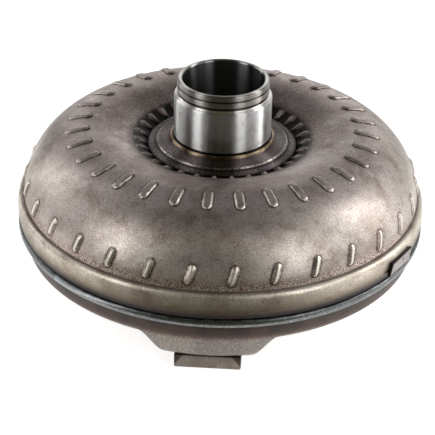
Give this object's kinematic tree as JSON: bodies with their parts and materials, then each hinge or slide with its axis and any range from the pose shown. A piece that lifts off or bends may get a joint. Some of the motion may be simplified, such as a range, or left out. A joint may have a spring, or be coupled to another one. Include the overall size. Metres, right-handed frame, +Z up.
{
  "type": "torque converter",
  "caption": "Round welded hydraulic coupling with vaned impeller, turbine and stator, splined bores, a tall pump hub above and drive lugs below.",
  "frame": {"origin": "on the shaft axis, in the plane of the drive lug faces that it stands on", "axes": "+Z up the shaft axis towards the pump hub's end, -Y towards the first drive lug, which faces the camera"},
  "size_m": [0.2546, 0.255, 0.1343],
  "materials": {
    "shell_steel": "bare pressed steel, heat-tinted brown, finely speckled",
    "cover_steel": "bare pressed steel, dark grey-brown",
    "hub_steel": "ground and polished",
    "weld_bead": "dark machine weld with bright glints",
    "lug_steel": "dark bare steel",
    "sheet_steel": "stamped sheet steel",
    "cast_aluminium": "as cast",
    "spring_steel": "oil-tempered, dark",
    "cage_steel": "pressed strip",
    "hard_steel": "hardened and ground",
    "friction_lining": "resin-bonded friction paper, matt",
    "bearing_bronze": "bearing bronze, matt"
  },
  "bodies": {
    "casing": {"impeller_shell": "shell_steel", "impeller_vanes": "sheet_steel", "pump_hub": "hub_steel", "front_cover": "cover_steel", "equator_weld": "weld_bead", "balance_weight": "cover_steel", "crank_pilot": "lug_steel", "drive_lug_1": "lug_steel", "drive_lug_2": "lug_steel", "drive_lug_3": "lug_steel", "cover_thrust_washer": "bearing_bronze", "impeller_thrust_race": "hard_steel"},
    "turbine": {"turbine_shell": "sheet_steel", "turbine_vanes": "sheet_steel", "turbine_hub": "hard_steel", "damper_hub_plate": "hard_steel"},
    "damper": {"damper_drive_plate": "sheet_steel", "damper_side_plate": "sheet_steel", "damper_spring_1": "spring_steel", "damper_spring_2": "spring_steel", "damper_spring_3": "spring_steel", "damper_spring_4": "spring_steel", "damper_spring_5": "spring_steel", "damper_spring_6": "spring_steel"},
    "piston": {"lockup_piston": "hard_steel", "friction_lining": "friction_lining"},
    "inner_race": {"stator_inner_race": "hard_steel"},
    "stator": {"stator_wheel": "cast_aluminium", "stator_cam": "hard_steel", "stator_lower_plate": "sheet_steel", "stator_upper_plate": "sheet_steel", "stator_snap_ring": "spring_steel", "clutch_spring_1": "spring_steel", "clutch_spring_2": "spring_steel", "clutch_spring_3": "spring_steel", "clutch_spring_4": "spring_steel", "clutch_spring_5": "spring_steel", "clutch_spring_6": "spring_steel", "clutch_spring_7": "spring_steel", "clutch_spring_8": "spring_steel"},
    "stator_cage": {"stator_needle_cage": "cage_steel"},
    "impeller_cage": {"impeller_needle_cage": "cage_steel"},
    "roller_1": {"clutch_roller_1": "hard_steel"},
    "roller_2": {"clutch_roller_2": "hard_steel"},
    "roller_3": {"clutch_roller_3": "hard_steel"},
    "roller_4": {"clutch_roller_4": "hard_steel"},
    "roller_5": {"clutch_roller_5": "hard_steel"},
    "roller_6": {"clutch_roller_6": "hard_steel"},
    "roller_7": {"clutch_roller_7": "hard_steel"},
    "roller_8": {"clutch_roller_8": "hard_steel"}
  },
  "joints": [
    {"name": "stator_race_spin", "type": "hinge", "parent": "casing", "child": "inner_race", "pos_m": [0, 0, 0.0636], "axis": [0, 0, 1], "continuous": true},
    {"name": "stator_spin", "type": "hinge", "parent": "inner_race", "child": "stator", "pos_m": [0, 0, 0.0636], "axis": [0, 0, 1], "continuous": true},
    {"name": "turbine_spin", "type": "hinge", "parent": "casing", "child": "turbine", "pos_m": [0, 0, 0.033], "axis": [0, 0, 1], "continuous": true},
    {"name": "damper_twist", "type": "hinge", "parent": "turbine", "child": "damper", "pos_m": [0, 0, 0.0275], "axis": [0, 0, 1], "range_deg": [-8, 8], "stiffness_Nm_per_rad": 200, "deforming": ["damper_spring_1", "damper_spring_2", "damper_spring_3", "damper_spring_4", "damper_spring_5", "damper_spring_6"]},
    {"name": "lockup_piston_slide", "type": "slide", "parent": "damper", "child": "piston", "axis": [0, 0, -1], "range_m": [0, 0.0012]},
    {"name": "stator_cage_spin", "type": "hinge", "parent": "casing", "child": "stator_cage", "pos_m": [0, 0, 0.0493], "axis": [0, 0, 1], "continuous": true},
    {"name": "impeller_cage_spin", "type": "hinge", "parent": "casing", "child": "impeller_cage", "pos_m": [0, 0, 0.078], "axis": [0, 0, 1], "continuous": true},
    {"name": "clutch_roller_1_spin", "type": "hinge", "parent": "stator", "child": "roller_1", "pos_m": [0, -0.03115, 0.0636], "axis": [0, 0, 1], "continuous": true},
    {"name": "clutch_roller_2_spin", "type": "hinge", "parent": "stator", "child": "roller_2", "pos_m": [0.02203, -0.02203, 0.0636], "axis": [0, 0, 1], "continuous": true},
    {"name": "clutch_roller_3_spin", "type": "hinge", "parent": "stator", "child": "roller_3", "pos_m": [0.03115, 0, 0.0636], "axis": [0, 0, 1], "continuous": true},
    {"name": "clutch_roller_4_spin", "type": "hinge", "parent": "stator", "child": "roller_4", "pos_m": [0.02203, 0.02203, 0.0636], "axis": [0, 0, 1], "continuous": true},
    {"name": "clutch_roller_5_spin", "type": "hinge", "parent": "stator", "child": "roller_5", "pos_m": [0, 0.03115, 0.0636], "axis": [0, 0, 1], "continuous": true},
    {"name": "clutch_roller_6_spin", "type": "hinge", "parent": "stator", "child": "roller_6", "pos_m": [-0.02203, 0.02203, 0.0636], "axis": [0, 0, 1], "continuous": true},
    {"name": "clutch_roller_7_spin", "type": "hinge", "parent": "stator", "child": "roller_7", "pos_m": [-0.03115, 0, 0.0636], "axis": [0, 0, 1], "continuous": true},
    {"name": "clutch_roller_8_spin", "type": "hinge", "parent": "stator", "child": "roller_8", "pos_m": [-0.02203, -0.02203, 0.0636], "axis": [0, 0, 1], "continuous": true}
  ],
  "couplings": [
    {"joint": "stator_cage_spin", "follows": "turbine_spin", "ratio": 0.5},
    {"joint": "impeller_cage_spin", "follows": "stator_race_spin", "ratio": 0.5},
    {"joint": "clutch_roller_1_spin", "follows": "stator_spin", "ratio": 7.8571},
    {"joint": "clutch_roller_2_spin", "follows": "stator_spin", "ratio": 7.8571},
    {"joint": "clutch_roller_3_spin", "follows": "stator_spin", "ratio": 7.8571},
    {"joint": "clutch_roller_4_spin", "follows": "stator_spin", "ratio": 7.8571},
    {"joint": "clutch_roller_5_spin", "follows": "stator_spin", "ratio": 7.8571},
    {"joint": "clutch_roller_6_spin", "follows": "stator_spin", "ratio": 7.8571},
    {"joint": "clutch_roller_7_spin", "follows": "stator_spin", "ratio": 7.8571},
    {"joint": "clutch_roller_8_spin", "follows": "stator_spin", "ratio": 7.8571}
  ]
}
